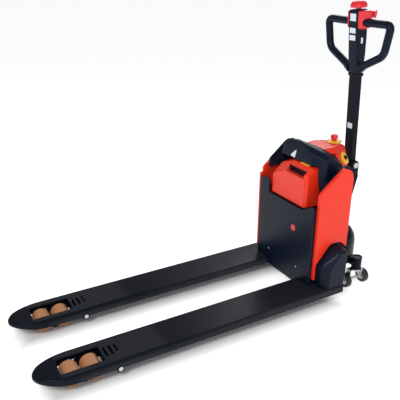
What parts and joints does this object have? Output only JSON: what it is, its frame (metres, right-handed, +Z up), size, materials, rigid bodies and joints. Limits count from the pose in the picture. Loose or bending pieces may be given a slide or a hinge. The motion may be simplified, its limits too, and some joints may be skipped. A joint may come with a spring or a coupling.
{
  "type": "electric pallet truck",
  "caption": "Low pedestrian electric pallet truck: forks on load rollers, an orange tower with a slide-in battery, and a steered drive wheel under a looped tiller.",
  "frame": {"origin": "on the floor under the middle of the truck's overall box", "axes": "+X from the fork tips towards the tiller, +Y to the left of someone who walks ahead and pulls the truck, +Z up"},
  "size_m": [1.632, 0.5466, 1.2665],
  "materials": {
    "black_paint": "semi-gloss black powder coat",
    "cover_black": "satin moulded black plastic",
    "orange": "satin orange-red moulded plastic",
    "red": "glossy red moulded plastic",
    "yellow": "yellow moulded plastic",
    "zinc": "zinc-plated steel",
    "steel": "machined steel",
    "tyre_black": "black wheel rubber",
    "polyurethane": "tan polyurethane",
    "alloy": "cast alloy"
  },
  "bodies": {
    "drive_frame": {"drive_bridge": "black_paint", "steering_bearing": "steel", "lift_barrel": "black_paint"},
    "fork_chassis": {"fork_left": "black_paint", "fork_right": "black_paint", "heel_beam": "black_paint", "tower_frame": "black_paint", "face_plate": "cover_black", "side_panel_left": "orange", "side_panel_right": "orange", "wheel_cover_left": "cover_black", "wheel_cover_right": "cover_black", "battery_tray": "cover_black", "hood": "cover_black", "rear_cover": "orange", "e_stop_base": "yellow", "key_plate": "yellow", "controller": "alloy", "hydraulic_unit": "alloy", "lift_rod": "steel"},
    "torque_shaft": {"torque_shaft": "steel"},
    "steer_head": {"wheel_carrier": "black_paint", "drive_cover": "black_paint", "gearbox": "alloy", "drive_motor": "steel", "tiller_base": "black_paint", "tiller_pin": "zinc"},
    "drive_wheel": {"drive_tyre": "tyre_black", "drive_hub": "alloy"},
    "tiller": {"mast": "black_paint", "head_column": "cover_black", "handle_left": "cover_black", "handle_right": "cover_black", "head_cover_left": "red", "head_cover_right": "red"},
    "throttle": {"throttle": "red"},
    "belly_button": {"belly_button": "red"},
    "lift_button": {"lift_button": "cover_black"},
    "lower_button": {"lower_button": "cover_black"},
    "horn_button": {"horn_button": "yellow"},
    "battery": {"battery": "orange"},
    "battery_latch": {"battery_latch": "yellow"},
    "e_stop_button": {"e_stop_button": "red"},
    "key_barrel": {"key_barrel": "cover_black"},
    "load_lever_left": {"load_lever_left": "black_paint"},
    "bogie_left": {"bogie_left": "steel"},
    "front_roller_left": {"front_roller_left": "polyurethane"},
    "rear_roller_left": {"rear_roller_left": "polyurethane"},
    "pull_rod_left": {"pull_rod_left": "steel"},
    "castor_left": {"castor_yoke_left": "zinc"},
    "castor_front_wheel_left": {"castor_front_wheel_left": "tyre_black"},
    "castor_rear_wheel_left": {"castor_rear_wheel_left": "tyre_black"},
    "load_lever_right": {"load_lever_right": "black_paint"},
    "bogie_right": {"bogie_right": "steel"},
    "front_roller_right": {"front_roller_right": "polyurethane"},
    "rear_roller_right": {"rear_roller_right": "polyurethane"},
    "pull_rod_right": {"pull_rod_right": "steel"},
    "castor_right": {"castor_yoke_right": "zinc"},
    "castor_front_wheel_right": {"castor_front_wheel_right": "tyre_black"},
    "castor_rear_wheel_right": {"castor_rear_wheel_right": "tyre_black"}
  },
  "joints": [
    {"name": "lift", "type": "slide", "parent": "drive_frame", "child": "fork_chassis", "axis": [0, 0, 1], "range_m": [0, 0.105]},
    {"name": "steer", "type": "hinge", "parent": "drive_frame", "child": "steer_head", "pos_m": [0.701, 0, 0.26], "axis": [0, 0, 1], "range_deg": [-65, 65]},
    {"name": "drive_spin", "type": "hinge", "parent": "steer_head", "child": "drive_wheel", "pos_m": [0.701, 0, 0.105], "axis": [0, 1, 0], "continuous": true},
    {"name": "tiller_tilt", "type": "hinge", "parent": "steer_head", "child": "tiller", "pos_m": [0.773, 0, 0.54], "axis": [0, 1, 0], "range_deg": [0, 78]},
    {"name": "throttle_turn", "type": "hinge", "parent": "tiller", "child": "throttle", "pos_m": [0.77055, 0, 1.21172], "axis": [0, 1, 0], "range_deg": [-30, 30], "stiffness_Nm_per_rad": 0.3},
    {"name": "belly_press", "type": "slide", "parent": "tiller", "child": "belly_button", "axis": [0.0802, 0, -0.9968], "range_m": [0, 0.006], "stiffness_N_per_m": 800},
    {"name": "lift_press", "type": "slide", "parent": "tiller", "child": "lift_button", "axis": [-0.9968, 0, -0.0802], "range_m": [0, 0.003], "stiffness_N_per_m": 300},
    {"name": "lower_press", "type": "slide", "parent": "tiller", "child": "lower_button", "axis": [-0.9968, 0, -0.0802], "range_m": [0, 0.003], "stiffness_N_per_m": 300},
    {"name": "horn_press", "type": "slide", "parent": "tiller", "child": "horn_button", "axis": [-0.9968, 0, -0.0802], "range_m": [0, 0.003], "stiffness_N_per_m": 300},
    {"name": "battery_slide", "type": "slide", "parent": "fork_chassis", "child": "battery", "axis": [-1, 0, 0], "range_m": [0, 0.15]},
    {"name": "battery_latch_slide", "type": "slide", "parent": "fork_chassis", "child": "battery_latch", "axis": [1, 0, 0], "range_m": [0, 0.012], "stiffness_N_per_m": 300},
    {"name": "e_stop_press", "type": "slide", "parent": "fork_chassis", "child": "e_stop_button", "axis": [0, 0, -1], "range_m": [0, 0.006], "stiffness_N_per_m": 800},
    {"name": "key_turn", "type": "hinge", "parent": "fork_chassis", "child": "key_barrel", "pos_m": [0.65, -0.092, 0.612], "axis": [0.4206, -0.721, 0.5507], "range_deg": [0, 90]},
    {"name": "torque_shaft_turn", "type": "hinge", "parent": "fork_chassis", "child": "torque_shaft", "pos_m": [0.49, 0, 0.06], "axis": [0, -1, 0], "range_deg": [0, 64.1]},
    {"name": "load_lever_left_turn", "type": "hinge", "parent": "fork_chassis", "child": "load_lever_left", "pos_m": [-0.516, 0.19, 0.05], "axis": [0, -1, 0], "range_deg": [0, 64.1]},
    {"name": "bogie_left_turn", "type": "hinge", "parent": "load_lever_left", "child": "bogie_left", "pos_m": [-0.641, 0.19, 0.037], "axis": [0, 1, 0], "range_deg": [0, 64.1]},
    {"name": "pull_rod_left_slide", "type": "slide", "parent": "fork_chassis", "child": "pull_rod_left", "axis": [1, 0, 0], "range_m": [0, 0.0181]},
    {"name": "front_roller_left_spin", "type": "hinge", "parent": "bogie_left", "child": "front_roller_left", "pos_m": [-0.681, 0.19, 0.037], "axis": [0, 1, 0], "continuous": true},
    {"name": "rear_roller_left_spin", "type": "hinge", "parent": "bogie_left", "child": "rear_roller_left", "pos_m": [-0.601, 0.19, 0.037], "axis": [0, 1, 0], "continuous": true},
    {"name": "castor_left_swivel", "type": "hinge", "parent": "drive_frame", "child": "castor_left", "pos_m": [0.701, 0.188, 0.09], "axis": [0, 0, 1], "continuous": true},
    {"name": "castor_front_wheel_left_spin", "type": "hinge", "parent": "castor_left", "child": "castor_front_wheel_left", "pos_m": [0.6485, 0.18, 0.034], "axis": [1, 0, 0], "continuous": true},
    {"name": "castor_rear_wheel_left_spin", "type": "hinge", "parent": "castor_left", "child": "castor_rear_wheel_left", "pos_m": [0.7535, 0.18, 0.034], "axis": [1, 0, 0], "continuous": true},
    {"name": "load_lever_right_turn", "type": "hinge", "parent": "fork_chassis", "child": "load_lever_right", "pos_m": [-0.516, -0.19, 0.05], "axis": [0, -1, 0], "range_deg": [0, 64.1]},
    {"name": "bogie_right_turn", "type": "hinge", "parent": "load_lever_right", "child": "bogie_right", "pos_m": [-0.641, -0.19, 0.037], "axis": [0, 1, 0], "range_deg": [0, 64.1]},
    {"name": "pull_rod_right_slide", "type": "slide", "parent": "fork_chassis", "child": "pull_rod_right", "axis": [1, 0, 0], "range_m": [0, 0.0181]},
    {"name": "front_roller_right_spin", "type": "hinge", "parent": "bogie_right", "child": "front_roller_right", "pos_m": [-0.681, -0.19, 0.037], "axis": [0, 1, 0], "continuous": true},
    {"name": "rear_roller_right_spin", "type": "hinge", "parent": "bogie_right", "child": "rear_roller_right", "pos_m": [-0.601, -0.19, 0.037], "axis": [0, 1, 0], "continuous": true},
    {"name": "castor_right_swivel", "type": "hinge", "parent": "drive_frame", "child": "castor_right", "pos_m": [0.701, -0.188, 0.09], "axis": [0, 0, 1], "continuous": true},
    {"name": "castor_front_wheel_right_spin", "type": "hinge", "parent": "castor_right", "child": "castor_front_wheel_right", "pos_m": [0.6485, -0.18, 0.034], "axis": [1, 0, 0], "continuous": true},
    {"name": "castor_rear_wheel_right_spin", "type": "hinge", "parent": "castor_right", "child": "castor_rear_wheel_right", "pos_m": [0.7535, -0.18, 0.034], "axis": [1, 0, 0], "continuous": true}
  ],
  "couplings": [
    {"joint": "torque_shaft_turn", "follows": "lift", "rad_per_m": 10.638},
    {"joint": "load_lever_left_turn", "follows": "lift", "rad_per_m": 10.638},
    {"joint": "bogie_left_turn", "follows": "lift", "rad_per_m": 10.638},
    {"joint": "pull_rod_left_slide", "follows": "lift", "ratio": 0.17143},
    {"joint": "load_lever_right_turn", "follows": "lift", "rad_per_m": 10.638},
    {"joint": "bogie_right_turn", "follows": "lift", "rad_per_m": 10.638},
    {"joint": "pull_rod_right_slide", "follows": "lift", "ratio": 0.17143}
  ]
}
